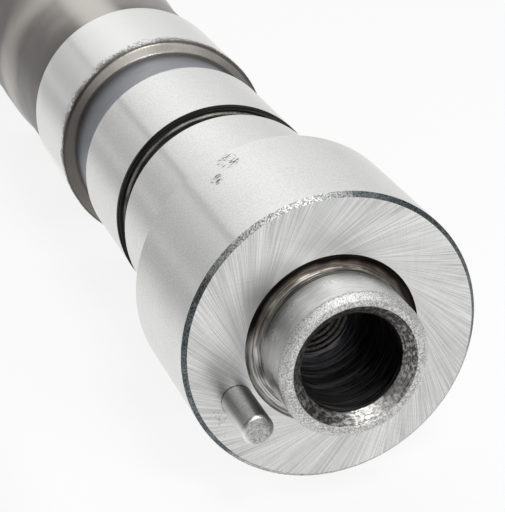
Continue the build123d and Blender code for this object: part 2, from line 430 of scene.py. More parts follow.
def drill_dowel_hole(piece, finishes):
    """Cuts the dowel's hole into the gear face, a little wider than the pin."""
    hole = PIN + PIN_HOLE_GAP
    rows = [(-PIN, PIN * CLOSING_RING, "bore", False), (-PIN, hole, "bore", False),
            (PIN_HOLE_DEPTH, hole, "bore", False), (PIN_HOLE_DEPTH, PIN * CLOSING_RING, "bore", False)]
    drill = skin("drill", rows, finishes, PIN_SEGMENTS, PIN_CENTRE)
    for made in piece.data.materials:
        drill.data.materials.append(made)
    cut = piece.modifiers.new("dowel_hole", "BOOLEAN")
    cut.operation = "DIFFERENCE"
    cut.solver = "EXACT"
    cut.object = drill
    bpy.context.view_layer.update()
    whole = piece.data
    piece.data = bpy.data.meshes.new_from_object(piece.evaluated_get(bpy.context.evaluated_depsgraph_get()))
    piece.modifiers.clear()
    bpy.data.objects.remove(drill)
    bpy.data.meshes.remove(whole)
    sharpen_dowel_hole(piece, hole)


def sharpen_dowel_hole(piece, hole):
    """Marks the rim of the dowel's hole sharp, and no edge along its wall."""

    def on_hole(point):
        away = math.hypot(point.x - PIN_CENTRE[0], point.z - PIN_CENTRE[1])
        return away < hole * HOLE_TOLERANCE and point.y < PIN_HOLE_DEPTH

    for edge in piece.data.edges:
        ends = [piece.data.vertices[index].co for index in edge.vertices]
        if all(on_hole(end) for end in ends):
            edge.use_edge_sharp = abs(ends[0].y - ends[1].y) < SOFT_EDGE


class Nodes:
    """Short calls for the nodes that a pattern needs."""

    def __init__(self, tree):
        self.tree = tree

    def add(self, kind, **settings):
        node = self.tree.nodes.new(kind)
        for name, value in settings.items():
            setattr(node, name, value)
        return node

    def put(self, socket, value):
        """Links a socket to the value if that is an output, and otherwise sets it."""
        if isinstance(value, bpy.types.NodeSocket):
            self.tree.links.new(value, socket)
        elif isinstance(value, tuple) and len(value) == 3 and socket.type == "RGBA":
            socket.default_value = (*value, 1)
        else:
            socket.default_value = value

    def math(self, operation, *values):
        node = self.add("ShaderNodeMath", operation=operation)
        for socket, value in zip(node.inputs, values):
            self.put(socket, value)
        return node.outputs[0]

    def total(self, first, *others):
        for other in others:
            first = self.math("ADD", first, other)
        return first

    def product(self, first, second):
        return self.math("MULTIPLY", first, second)

    def length(self, x, z):
        return self.math("SQRT", self.total(self.product(x, x), self.product(z, z)))

    def at(self, x, y, z):
        node = self.add("ShaderNodeCombineXYZ")
        for socket, value in zip(node.inputs, (x, y, z)):
            self.put(socket, value)
        return node.outputs[0]

    def noise(self, place, size, detail=2.0, rough=0.5):
        """Noise about 0.5 with features about as long as size."""
        node = self.add("ShaderNodeTexNoise")
        self.put(node.inputs["Vector"], place)
        node.inputs["Scale"].default_value = 1 / size
        node.inputs["Detail"].default_value = detail
        node.inputs["Roughness"].default_value = rough
        return node.outputs[0]

    def step(self, value, low, high, start=0.0, end=1.0):
        """A smooth step from start to end as the value goes from low to high."""
        node = self.add("ShaderNodeMapRange", interpolation_type="SMOOTHSTEP")
        for socket, given in zip(node.inputs, (value, low, high, start, end)):
            self.put(socket, given)
        return node.outputs[0]

    def bell(self, value, middle, reach):
        """1 at the middle, smoothly down to 0 at a distance of reach."""
        return self.step(self.math("ABSOLUTE", self.math("SUBTRACT", value, middle)), 0.0, reach, 1.0, 0.0)

    def plateau(self, value, start, full, fading, end):
        """0 up to the start, 1 from full to fading, and 0 again from the end on, all smoothly."""
        return self.product(self.step(value, start, full), self.step(value, fading, end, 1.0, 0.0))

    def mix(self, share, first, second):
        node = self.add("ShaderNodeMix", data_type="RGBA")
        self.put(node.inputs[0], share)
        self.put(node.inputs[6], first)
        self.put(node.inputs[7], second)
        return node.outputs[2]

    def turn(self, x, z):
        """The angle round the shaft in degrees, from +X towards +Z."""
        return self.math("DEGREES", self.math("ARCTAN2", z, x))


class Finish(Nodes):
    """A Principled material that knows its place on the part: x, y, z and radius in mm, angle in degrees."""

    def __init__(self, name, roughness, grain=0.0, grain_turn=0.0, metallic=1.0):
        made = bpy.data.materials.new(name)
        made.use_nodes = True
        super().__init__(made.node_tree)
        self.made = made
        self.shader = made.node_tree.nodes["Principled BSDF"]
        self.put(self.shader.inputs["Metallic"], metallic)
        self.put(self.shader.inputs["Roughness"], roughness)
        if grain:
            self.put(self.shader.inputs["Anisotropic"], grain)
            self.put(self.shader.inputs["Anisotropic Rotation"], grain_turn)
            tangent = self.add("ShaderNodeTangent", direction_type="RADIAL", axis="Y")
            self.put(self.shader.inputs["Tangent"], tangent.outputs[0])
        scale = self.add("ShaderNodeVectorMath", operation="SCALE")
        self.put(scale.inputs[0], self.add("ShaderNodeTexCoord").outputs["Object"])
        self.put(scale.inputs["Scale"], 1 / MM)
        self.place = scale.outputs[0]
        split = self.add("ShaderNodeSeparateXYZ")
        self.put(split.inputs[0], self.place)
        self.x, self.y, self.z = split.outputs
        self.radius = self.length(self.x, self.z)
        self.angle = self.turn(self.x, self.z)

    def spots(self, size, detail=2.0, rough=0.5):
        """Even noise all over the part."""
        return self.noise(self.place, size, detail, rough)

    def round_lines(self, spacing, length, detail=2.0, rough=0.5):
        """Noise drawn out into lines round the shaft."""
        place = self.at(self.math("DIVIDE", self.x, length), self.math("DIVIDE", self.y, spacing),
                        self.math("DIVIDE", self.z, length))
        return self.noise(place, 1.0, detail, rough)

    def rings(self, turn, across, bends, spacing, detail=2.0, rough=0.5):
        """Noise that changes with a turn in radians, faster with more bends, and across it at this spacing."""
        place = self.at(self.product(self.math("COSINE", turn), bends), self.math("DIVIDE", across, spacing),
                        self.product(self.math("SINE", turn), bends))
        return self.noise(place, 1.0, detail, rough)

    def radians(self):
        return self.math("RADIANS", self.angle)

    def facing(self, middle, reach):
        """1 at this angle round the shaft, smoothly down to 0 at a distance of reach, both in degrees."""
        away = self.math("RADIANS", self.math("SUBTRACT", self.angle, middle))
        return self.step(self.math("COSINE", away), math.cos(math.radians(reach)), 1.0)

    def attribute(self, name):
        return self.add("ShaderNodeAttribute", attribute_name=name).outputs["Fac"]

    def color(self, value):
        self.put(self.shader.inputs["Base Color"], value)

    def roughness(self, value):
        self.put(self.shader.inputs["Roughness"], value)

    def bump(self, height, depth):
        """Relief from a height of 0 to 1, where 1 stands depth mm proud."""
        node = self.add("ShaderNodeBump")
        self.put(node.inputs["Height"], height)
        self.put(node.inputs["Strength"], 1.0)
        self.put(node.inputs["Distance"], depth * MM)
        self.put(self.shader.inputs["Normal"], node.outputs[0])


# Settings of the finishes, in the order of the calls that they are for:
#   noise and spots   size in mm, detail, roughness
#   round lines       spacing and length in mm, detail, roughness
#   rings             bends, spacing, detail, roughness
#   steps             from and to in the pattern, and the values there if they aren't 0 and 1
#   sides             angle and reach round the shaft, in degrees
#   relief            depth in mm
GREY = (0.78, 0.78, 0.77)
SHADE = (0.70, 0.70, 0.695)
ROUND_SHAFT = 0.25
GROUND_LINES = (0.12, 6.0, 3.0)
GROUND_LINES_SHADE = (0.3, 0.75, 0.0, 0.6)

JOURNAL_CLOUDS = (7.0, 3.0)
JOURNAL_CLOUDS_SHADE = (0.35, 0.7, 0.0, 0.2)
JOURNAL_CLOUDS_ROUGHNESS = (0.3, 0.7, 0.21, 0.23)
JOURNAL_SAND = (0.3, 2.0)
JOURNAL_SAND_SHADE = (0.35, 0.65, -0.8, 0.8)
JOURNAL_RELIEF = 0.0008
# Each scuff's angle and its reach in degrees, and its Y and its reach in mm.
SCUFFS = ((113.0, 2.6, 22.6, 1.9), (120.8, 1.7, 19.1, 1.2))
SCUFF_DASHES = (0.4, 0.85, 4.0, 0.65)
SCUFF_SPECKS = (0.51, 0.56)
SCUFF_OUTLINE = (0.2, 0.5)
SCUFF_COLOR = (0.15, 0.15, 0.15)


def scuffed_share(finish):
    """How much of a scuff shows on the front journal: specks in short dashes, inside the patches."""
    specks = finish.step(finish.round_lines(*SCUFF_DASHES), *SCUFF_SPECKS)
    patches = [finish.product(finish.facing(turn, 2 * turn_reach), finish.bell(finish.y, y, 2 * y_reach))
               for turn, turn_reach, y, y_reach in SCUFFS]
    return finish.product(finish.step(finish.total(*patches), *SCUFF_OUTLINE), specks)


def journal_finish():
    """The ground journals and the land, with a few dark scuffs on the front one."""
    finish = Finish("ground", roughness=0.22, grain=0.85, grain_turn=ROUND_SHAFT)
    lines = finish.round_lines(*GROUND_LINES)
    clouds = finish.spots(*JOURNAL_CLOUDS)
    sand = finish.spots(*JOURNAL_SAND)
    share = finish.total(finish.step(lines, *GROUND_LINES_SHADE), finish.step(clouds, *JOURNAL_CLOUDS_SHADE),
                         finish.step(sand, *JOURNAL_SAND_SHADE))
    finish.color(finish.mix(scuffed_share(finish), finish.mix(share, GREY, SHADE), SCUFF_COLOR))
    finish.roughness(finish.step(clouds, *JOURNAL_CLOUDS_ROUGHNESS))
    finish.bump(lines, JOURNAL_RELIEF)
    return finish.made


# The face's scratches touch a circle of this radius in mm. The margin keeps their angle clear of 0.
FACE_LAY = 13.0
FACE_LAY_MARGIN = 0.1
FACE_FINE = (170.0, 7.0, 1.0, 0.6)
FACE_FINE_SHADE = (0.38, 0.64, 0.0, 0.75)
FACE_CROSSED = (140.0, 7.0, 1.0, 0.6)
FACE_CROSSED_SHADE = (0.5, 0.7, 0.0, 0.2)
FACE_CROSSED_HEIGHT = 0.5
FACE_BROAD = (5.0, 30.0, 2.0, 0.6)
FACE_BROAD_SHADE = (0.35, 0.7, 0.0, 0.25)
FACE_BROAD_ROUGHNESS = (0.3, 0.7, 0.26, 0.34)
FACE_LIGHT, FACE_DARK = (0.79, 0.79, 0.78), (0.48, 0.48, 0.48)
FACE_SHADED_SIDE = (125.0, 85.0)
FACE_SHADED_WIDTH = 6.0
FACE_SHADED_SHARE = 0.4
FACE_SHADED_COLOR = (0.3, 0.3, 0.3)
FACE_SCUFF_X, FACE_SCUFF_Z = -18.2, -10.4
FACE_SCUFF_SPOTS = (0.45, 3.0, 0.65)
FACE_SCUFF_SPECKS = (0.5, 0.62)
FACE_SCUFF_OUTLINE = (0.7, 2.1, 0.6, 0.0)
FACE_SCUFF_COLOR = (0.2, 0.2, 0.195)
FACE_RELIEF = 0.003


def lay_face(finish):
    """Lays the grain tangent to a circle inside the face, and returns the (fine, crossed, broad) scratches."""
    outside = finish.math("MAXIMUM", finish.radius, FACE_LAY + FACE_LAY_MARGIN)
    swirl = finish.math("ARCCOSINE", finish.math("DIVIDE", FACE_LAY, outside))
    lay = finish.total(finish.radians(), swirl)
    cross = finish.math("SUBTRACT", finish.radians(), swirl)
    along = finish.at(finish.math("COSINE", lay), 0.0, finish.math("SINE", lay))
    finish.put(finish.shader.inputs["Tangent"], along)
    return (finish.rings(lay, finish.radius, *FACE_FINE), finish.rings(cross, finish.radius, *FACE_CROSSED),
            finish.rings(lay, finish.radius, *FACE_BROAD))


def face_scuffed_share(finish):
    """How much of the scuffed patch beside the pin shows."""
    away = finish.length(finish.math("SUBTRACT", finish.x, FACE_SCUFF_X),
                         finish.math("SUBTRACT", finish.z, FACE_SCUFF_Z))
    specks = finish.step(finish.spots(*FACE_SCUFF_SPOTS), *FACE_SCUFF_SPECKS)
    return finish.product(specks, finish.step(away, *FACE_SCUFF_OUTLINE))


def face_finish():
    """The gear face and the rear face: fine scratches that swirl out, partly shaded, with one scuffed patch."""
    finish = Finish("face", roughness=0.3, grain=0.55)
    fine, crossed, broad = lay_face(finish)
    share = finish.total(finish.step(fine, *FACE_FINE_SHADE), finish.step(broad, *FACE_BROAD_SHADE),
                         finish.step(crossed, *FACE_CROSSED_SHADE))
    color = finish.mix(share, FACE_LIGHT, FACE_DARK)
    shaded = finish.product(finish.facing(*FACE_SHADED_SIDE),
                            finish.bell(finish.radius, UNDERCUT / MM, FACE_SHADED_WIDTH))
    color = finish.mix(finish.product(shaded, FACE_SHADED_SHARE), color, FACE_SHADED_COLOR)
    finish.color(finish.mix(face_scuffed_share(finish), color, FACE_SCUFF_COLOR))
    finish.roughness(finish.step(broad, *FACE_BROAD_ROUGHNESS))
    finish.bump(finish.total(fine, finish.product(crossed, FACE_CROSSED_HEIGHT)), FACE_RELIEF)
    return finish.made


EDGE_GRAINS = (0.27, 2.0, 0.6)
EDGE_SPECKS = (0.4, 0.62)
EDGE_DULL_DARK, EDGE_DULL_LIGHT = (0.05, 0.066, 0.07), (0.2, 0.225, 0.23)
EDGE_WORN_AND_HIGHLIT_DARK, EDGE_WORN_AND_HIGHLIT_LIGHT = (0.24, 0.25, 0.25), (0.72, 0.72, 0.7)
EDGE_PAINTED_HIGHLIGHT_ABOVE = (114.0, 42.0)
EDGE_PAINTED_HIGHLIGHT_BELOW = (-72.0, 75.0)
EDGE_PAINTED_HIGHLIGHT_BELOW_RISE = (0.1, 0.4)
EDGE_PATCHES = (2.5, 2.0)
EDGE_PATCHES_RUBBED = (0.3, 0.7, -0.15, 0.15)
EDGE_RELIEF = 0.04


def edge_finish():
    """The chamfers: turned, blackened and sandy, with painted highlights above and below the gear face and
    brighter worn patches.
    """
    finish = Finish("edge", roughness=0.5)
    grains = finish.spots(*EDGE_GRAINS)
    specks = finish.step(grains, *EDGE_SPECKS)
    # Painted highlights on the upper and lower sides, added to random worn patches.
    worn_and_highlit = finish.total(finish.facing(*EDGE_PAINTED_HIGHLIGHT_ABOVE),
                          finish.step(finish.facing(*EDGE_PAINTED_HIGHLIGHT_BELOW), *EDGE_PAINTED_HIGHLIGHT_BELOW_RISE),
                          finish.step(finish.spots(*EDGE_PATCHES), *EDGE_PATCHES_RUBBED))
    dull = finish.mix(specks, EDGE_DULL_DARK, EDGE_DULL_LIGHT)
    bright = finish.mix(specks, EDGE_WORN_AND_HIGHLIT_DARK, EDGE_WORN_AND_HIGHLIT_LIGHT)
    finish.color(finish.mix(worn_and_highlit, dull, bright))
    finish.bump(grains, EDGE_RELIEF)
    return finish.made


SANDY_GRAINS = (0.22, 3.0, 0.7)
# (roughness, specks, first colour, second colour, relief)
BEVEL_SETTINGS = (0.55, (0.42, 0.62), (0.8, 0.8, 0.78), (0.38, 0.38, 0.37), 0.04)
TIP_SETTINGS = (0.45, (0.4, 0.6), (0.32, 0.32, 0.31), (0.74, 0.74, 0.72), 0.03)


def sandy_finish(name, roughness, specks, first, second, relief):
    """The nose's end ring or the bevel round it, with a sandy grain."""
    finish = Finish(name, roughness)
    grains = finish.spots(*SANDY_GRAINS)
    finish.color(finish.mix(finish.step(grains, *specks), first, second))
    finish.bump(grains, relief)
    return finish.made


NOSE_LINES = (0.16, 3.0, 3.0)
NOSE_LINES_SHADE = (0.38, 0.66, 0.0, 0.65)
NOSE_CLOUDS = (3.0, 3.0, 0.6)
NOSE_CLOUDS_SHADE = (0.35, 0.65, 0.0, 0.35)
NOSE_CLOUDS_ROUGHNESS = (0.3, 0.7, 0.26, 0.36)
NOSE_LIGHT, NOSE_DARK = (0.86, 0.86, 0.85), (0.6, 0.6, 0.59)
NOSE_RELIEF = 0.003


def nose_finish():
    """The ground nose, with coarse marks round it."""
    finish = Finish("nose", roughness=0.3, grain=0.7, grain_turn=ROUND_SHAFT)
    lines = finish.round_lines(*NOSE_LINES)
    clouds = finish.spots(*NOSE_CLOUDS)
    share = finish.total(finish.step(lines, *NOSE_LINES_SHADE), finish.step(clouds, *NOSE_CLOUDS_SHADE))
    finish.color(finish.mix(share, NOSE_LIGHT, NOSE_DARK))
    finish.roughness(finish.step(clouds, *NOSE_CLOUDS_ROUGHNESS))
    finish.bump(lines, NOSE_RELIEF)
    return finish.made


CONE_STAINS = (0.6, 4.0, 0.7)
CONE_STAINS_SHADE = (0.36, 0.6, 0.35, 1.0)
CONE_MARKS = (3.3333333, 0.12, 3.0)
CONE_MARKS_SHADE = (0.4, 0.66, 0.0, 0.4)
CONE_PAINTED_HIGHLIGHT_SIDE = (-52.0, 55.0)
CONE_PAINTED_HIGHLIGHT_SHARE = 0.45
CONE_GRAINS = (0.25, 3.0)
CONE_LIGHT, CONE_DARK = (0.68, 0.67, 0.64), (0.07, 0.068, 0.065)
CONE_RELIEF = 0.03


def cone_finish():
    """The countersink: rings of tool marks under fine stains, with fewer stains at the lower right as a painted
    highlight.
    """
    finish = Finish("cone", roughness=0.4)
    marks = finish.rings(finish.radians(), finish.radius, *CONE_MARKS)
    # A painted highlight at the lower right, made by thinning the stains there.
    cone_highlight = finish.product(finish.facing(*CONE_PAINTED_HIGHLIGHT_SIDE), CONE_PAINTED_HIGHLIGHT_SHARE)
    stained = finish.math("SUBTRACT", finish.step(finish.spots(*CONE_STAINS), *CONE_STAINS_SHADE), cone_highlight)
    share = finish.total(stained, finish.step(marks, *CONE_MARKS_SHADE))
    finish.color(finish.mix(share, CONE_LIGHT, CONE_DARK))
    finish.bump(finish.total(marks, finish.spots(*CONE_GRAINS)), CONE_RELIEF)
    return finish.made


# Places across the undercut are angles in degrees round its section: -46 at the rim in the gear face, 0 at the
# back, 46 in the corner, 90 at the nose and 134 at its lip.
UNDERCUT_RINGS = (1.5, 17.0, 2.0, 0.7)
UNDERCUT_RINGS_SHIFT = 10.0
UNDERCUT_CLOUDS = (3.0, 3.0)
UNDERCUT_CLOUDS_SHIFT = (0.3, 0.7, -8.0, 8.0)
UNDERCUT_BROWN_RISE = (-5.0, 38.0)
UNDERCUT_PAINTED_SHADE_BLACK, UNDERCUT_BROWN = (0.012, 0.01, 0.01), (0.17, 0.143, 0.12)
UNDERCUT_PAINTED_REFLECTION_RISE = (40.0, 60.0)
UNDERCUT_PAINTED_REFLECTION_CREAM = (0.9, 0.86, 0.78)
UNDERCUT_LIT_GREY_RISE = (20.0, 50.0)
UNDERCUT_LIT_GREY, UNDERCUT_LIT_PALE = (0.6, 0.59, 0.57), (0.78, 0.77, 0.75)
UNDERCUT_PAINTED_LIGHT_SIDE = (220.0, 62.0)
UNDERCUT_PAINTED_LIGHT_SIDE_RISE = (0.0, 0.6)
UNDERCUT_RINGS_SHADE = (0.47, 0.56, 0.0, 0.72)
UNDERCUT_RINGS_COLOR = (0.03, 0.026, 0.024)
UNDERCUT_LIP_RISE = (92.0, 104.0)
UNDERCUT_LIP_COLOR = (0.06, 0.055, 0.05)
UNDERCUT_RELIEF = 0.03


def undercut_finish():
    """The undercut round the nose: turned rings, painted shade black at the rim, brown behind and a pale cream
    painted reflection by the nose, with a lit grey as painted light on the lower left.
    """
    finish = Finish("undercut", roughness=0.42)
    back = finish.math("SUBTRACT", finish.y, -UNDERCUT_LENGTH / 2 / MM)
    inward = finish.math("SUBTRACT", (NOSE + UNDERCUT) / 2 / MM, finish.radius)
    around = finish.math("DEGREES", finish.math("ARCTAN2", inward, back))
    rings = finish.rings(finish.radians(), around, *UNDERCUT_RINGS)
    clouds = finish.step(finish.spots(*UNDERCUT_CLOUDS), *UNDERCUT_CLOUDS_SHIFT)
    at = finish.total(around, clouds, finish.product(rings, UNDERCUT_RINGS_SHIFT))
    # The black at the rim is painted shade and the cream by the nose is a painted reflection; the brown between
    # is the undercut's own tint.
    brown = finish.mix(finish.step(at, *UNDERCUT_BROWN_RISE), UNDERCUT_PAINTED_SHADE_BLACK, UNDERCUT_BROWN)
    shade = finish.mix(finish.step(at, *UNDERCUT_PAINTED_REFLECTION_RISE), brown, UNDERCUT_PAINTED_REFLECTION_CREAM)
    grey = finish.mix(finish.step(at, *UNDERCUT_LIT_GREY_RISE), UNDERCUT_LIT_GREY, UNDERCUT_LIT_PALE)
    # On the lower left a lit grey, which is painted light, takes the place of the shaded colours.
    painted_light_side = finish.step(finish.facing(*UNDERCUT_PAINTED_LIGHT_SIDE), *UNDERCUT_PAINTED_LIGHT_SIDE_RISE)
    shade = finish.mix(painted_light_side, shade, grey)
    lined = finish.mix(finish.step(rings, *UNDERCUT_RINGS_SHADE), shade, UNDERCUT_RINGS_COLOR)
    finish.color(finish.mix(finish.step(around, *UNDERCUT_LIP_RISE), lined, UNDERCUT_LIP_COLOR))
    finish.bump(rings, UNDERCUT_RELIEF)
    return finish.made


BORE_LINES = (0.11, 8.0, 2.0)
BORE_BANDS = (2.0, 14.0, 1.0)
BORE_BANDS_SHARE = (0.4, 0.6, 0.3, 1.0)
BORE_GLINT_SIDE = (-85.0, 65.0)
BORE_GLINT_SHIFT = 0.15
BORE_SCRATCHES = (0.6, 0.68)
BORE_DARK, BORE_BRIGHT = (0.03, 0.03, 0.034), (0.95, 0.95, 0.98)
BORE_RELIEF = 0.03


def bore_finish():
    """The bore: dark, with fine bright scratches left round it by the tool, most of them at the bottom as
    painted glints.
    """
    finish = Finish("bore", roughness=0.35, grain=0.5, grain_turn=ROUND_SHAFT)
    lines = finish.round_lines(*BORE_LINES)
    # More bright scratches on the lower side: painted glints.
    shift = finish.product(finish.facing(*BORE_GLINT_SIDE), BORE_GLINT_SHIFT)
    bright = finish.product(finish.step(finish.total(lines, shift), *BORE_SCRATCHES),
                            finish.step(finish.round_lines(*BORE_BANDS), *BORE_BANDS_SHARE))
    finish.color(finish.mix(bright, BORE_DARK, BORE_BRIGHT))
    finish.bump(lines, BORE_RELIEF)
    return finish.made


THREAD_GRAINS = (0.4, 3.0)
THREAD_SPECKS = (0.35, 0.65)
THREAD_LIGHT, THREAD_WORN = (0.95, 0.93, 0.86), (0.6, 0.58, 0.53)
# The painted shade in the thread's roots starts and is full at these shares of its height.
THREAD_ROOT_START, THREAD_ROOT_FULL = 0.15, 0.6
THREAD_ROOT_PAINTED_SHADE = (0.06, 0.055, 0.05)
THREAD_RELIEF = 0.02


def thread_finish():
    """The tapped hole: light crests over roots darkened by painted shade."""
    finish = Finish("thread", roughness=0.5)
    grains = finish.spots(*THREAD_GRAINS)
    deep = finish.step(finish.radius, (THREAD_CORE + THREAD_ROOT_START * THREAD_HEIGHT) / MM,
                       (THREAD_CORE + THREAD_ROOT_FULL * THREAD_HEIGHT) / MM)
    crest = finish.mix(finish.step(grains, *THREAD_SPECKS), THREAD_LIGHT, THREAD_WORN)
    # Painted shade in the roots.
    finish.color(finish.mix(deep, crest, THREAD_ROOT_PAINTED_SHADE))
    finish.bump(grains, THREAD_RELIEF)
    return finish.made


WALL_MARKS = (1.25, 0.3, 2.0)
WALL_MARKS_SHADE = (0.4, 0.7)
WALL_DARK, WALL_LIGHT = (0.025, 0.025, 0.025), (0.13, 0.13, 0.132)
WALL_RELIEF = 0.01


def wall_finish():
    """Shoulders and the groove: nearly black, with faint tool rings."""
    finish = Finish("wall", roughness=0.45)
    marks = finish.rings(finish.radians(), finish.radius, *WALL_MARKS)
    finish.color(finish.mix(finish.step(marks, *WALL_MARKS_SHADE), WALL_DARK, WALL_LIGHT))
    finish.bump(marks, WALL_RELIEF)
    return finish.made


FILLET_LINES = (0.3, 3.0, 3.0)
FILLET_LINES_SHADE = (0.35, 0.65, 0.0, 0.7)
FILLET_PATCHES = (4.0, 2.0)
FILLET_PATCHES_SHADE = (0.35, 0.65, 0.0, 0.3)
FILLET_LIGHT, FILLET_DARK = (0.36, 0.34, 0.31), (0.07, 0.066, 0.062)
FILLET_RELIEF = 0.02


def fillet_finish():
    """The fillet at the foot of the groove's rear wall: paler than the wall as painted light, with streaks."""
    finish = Finish("groove_fillet", roughness=0.5, metallic=0.8)
    lines = finish.round_lines(*FILLET_LINES)
    share = finish.total(finish.step(lines, *FILLET_LINES_SHADE),
                         finish.step(finish.spots(*FILLET_PATCHES), *FILLET_PATCHES_SHADE))
    # Paler than the wall as painted light; the streaks are the fillet's own marks.
    finish.color(finish.mix(share, FILLET_LIGHT, FILLET_DARK))
    finish.bump(lines, FILLET_RELIEF)
    return finish.made


NECK_LINES = (0.25, 8.0, 2.0)
NECK_LINES_SHADE = (0.3, 0.75)
NECK_LIGHT, NECK_DARK = (0.37, 0.385, 0.41), (0.27, 0.285, 0.31)
NECK_RELIEF = 0.006


def neck_finish():
    """The turned necks: darker and a little blue."""
    finish = Finish("neck", roughness=0.42, grain=0.4, grain_turn=ROUND_SHAFT)
    lines = finish.round_lines(*NECK_LINES)
    finish.color(finish.mix(finish.step(lines, *NECK_LINES_SHADE), NECK_LIGHT, NECK_DARK))
    finish.bump(lines, NECK_RELIEF)
    return finish.made


# Places along the cast iron are in mm behind the front of a cylinder's first cam.
CAST_LIGHT, CAST_DARK = (0.32, 0.3, 0.278), (0.22, 0.205, 0.188)
CAST_PAINTED_SHADE, CAST_PAINTED_HIGHLIGHT = (0.11, 0.1, 0.092), (0.56, 0.53, 0.495)
CAST_CLOUDS = (6.0, 3.0, 0.5)
CAST_CLOUDS_SHADE = (0.3, 0.7, 0.0, 0.6)
CAST_GRAINS = (0.4, 2.0)
CAST_GRAINS_SHADE = (0.35, 0.7, 0.0, 0.35)
CAST_WANDER = (9.0, 2.0)
CAST_WANDER_SHIFT = (0.3, 0.7, -1.0, 1.0)
CAST_SHADED_CORNERS = (CAM_WIDTH / MM + 1.0, CAM_PITCH / MM - 1.0)
CAST_SHADED_CORNER_REACH = 12.0
CAST_PAINTED_SHADE_SIDE = (178.0, 60.0)
CAST_PAINTED_SHADE_SHARE = 0.85
CAST_PAINTED_HIGHLIGHT_SIDE = (108.0, 16.0)
CAST_PAINTED_HIGHLIGHT_SIDE_RISE = (2.0, CAST_SHADED_CORNERS[0], 0.3, 0.9)
CAST_FLARE_HIGHLIGHT = (52.0, 9.0)
CAST_FLARE_HIGHLIGHT_SHARE = 0.75
CAST_RELIEF = 0.012


def cast_pattern(finish):
    """(colour, grain) of the skin that the mould left."""
    grains = finish.spots(*CAST_GRAINS)
    share = finish.total(finish.step(finish.spots(*CAST_CLOUDS), *CAST_CLOUDS_SHADE),
                         finish.step(grains, *CAST_GRAINS_SHADE))
    return finish.mix(share, CAST_LIGHT, CAST_DARK), grains


def cast_finish():
    """As-cast iron: brown-grey and grainy, with painted shade in the corners by the cams and on the left side,
    and painted highlights on the flare to each hub and along the top.
    """
    finish = Finish("cast", roughness=0.38)
    color, grains = cast_pattern(finish)
    wander = finish.step(finish.spots(*CAST_WANDER), *CAST_WANDER_SHIFT)
    behind_first = finish.math("SUBTRACT", finish.total(finish.y, wander), FIRST_CAM / MM)
    behind = finish.math("MODULO", behind_first, CYLINDER_PITCH / MM)
    # Painted shade in the corners beside the cams.
    for middle in CAST_SHADED_CORNERS:
        corner = finish.product(finish.bell(behind, middle, CAST_SHADED_CORNER_REACH), CAST_PAINTED_SHADE_SHARE)
        color = finish.mix(corner, color, CAST_PAINTED_SHADE)
    # Painted shade on the left side.
    color = finish.mix(finish.product(finish.facing(*CAST_PAINTED_SHADE_SIDE), CAST_PAINTED_SHADE_SHARE), color, CAST_PAINTED_SHADE)
    # Painted highlights on the flare to each hub and along the top.
    flare = finish.product(finish.bell(behind, *CAST_FLARE_HIGHLIGHT), CAST_FLARE_HIGHLIGHT_SHARE)
    top_highlight = finish.product(finish.facing(*CAST_PAINTED_HIGHLIGHT_SIDE), finish.step(behind, *CAST_PAINTED_HIGHLIGHT_SIDE_RISE))
    finish.color(finish.mix(finish.math("MAXIMUM", flare, top_highlight), color, CAST_PAINTED_HIGHLIGHT))
    finish.bump(grains, CAST_RELIEF)
    return finish.made


TRACK_ROUGHNESS = 0.24
TRACK_PAINTED_HIGHLIGHT_SIDE = (205.0, 14.0)
TRACK_PAINTED_HIGHLIGHT = (0.98, 0.98, 0.97)
SKINNED_CLOUDS = (3.0, 2.0)
SKINNED_REACH = (0.35, 0.65, 0.3, 1.8)
SKINNED_SPOTS = (0.4, 3.0, 0.65)
SKINNED_SPECKS = (0.3, 0.7, -1.3, 1.3)
SKINNED_EDGE = (-0.7, 0.7, 1.0, 0.0)
SKINNED_ROUGHNESS = 0.2
SKINNED_RELIEF = 0.015


def track_finish():
    """The cams' ground tracks, with the cast skin fading out in specks along their front edges and a painted
    highlight along one side.
    """
    finish = Finish("track", TRACK_ROUGHNESS, grain=0.6, grain_turn=ROUND_SHAFT)
    ground = finish.mix(finish.step(finish.round_lines(*GROUND_LINES), *GROUND_LINES_SHADE), GREY, SHADE)
    # A painted highlight along one side of each track.
    ground = finish.mix(finish.facing(*TRACK_PAINTED_HIGHLIGHT_SIDE), ground, TRACK_PAINTED_HIGHLIGHT)
    color, grains = cast_pattern(finish)
    reach = finish.step(finish.spots(*SKINNED_CLOUDS), *SKINNED_REACH)
    edge = finish.math("SUBTRACT", finish.attribute("behind_cam_front"), reach)
    specks = finish.step(finish.spots(*SKINNED_SPOTS), *SKINNED_SPECKS)
    skinned = finish.step(finish.total(edge, specks), *SKINNED_EDGE)
    finish.color(finish.mix(skinned, ground, color))
    finish.roughness(finish.total(finish.product(skinned, SKINNED_ROUGHNESS), TRACK_ROUGHNESS))
    finish.bump(finish.product(skinned, grains), SKINNED_RELIEF)
    return finish.made


# The direction from the pin's axis to its side with painted shade, and steps across the pin from -1 to 1 that
# way.
PIN_PAINTED_SHADE_X, PIN_PAINTED_SHADE_Z = 0.89, 0.45
PIN_PAINTED_SHADE_RISE = (0.25, 0.95, 0.0, 0.8)
PIN_PAINTED_SHADE_COLOR = (0.06, 0.06, 0.058)
PIN_PAINTED_HIGHLIGHT_RISE = (-0.55, -0.98, 0.0, 0.85)
PIN_PAINTED_HIGHLIGHT_COLOR = (0.92, 0.92, 0.9)
PIN_SPOTS_DETAIL, PIN_SPOTS_ROUGH = 3.0, 0.6
PIN_SPECKS = (0.35, 0.7)
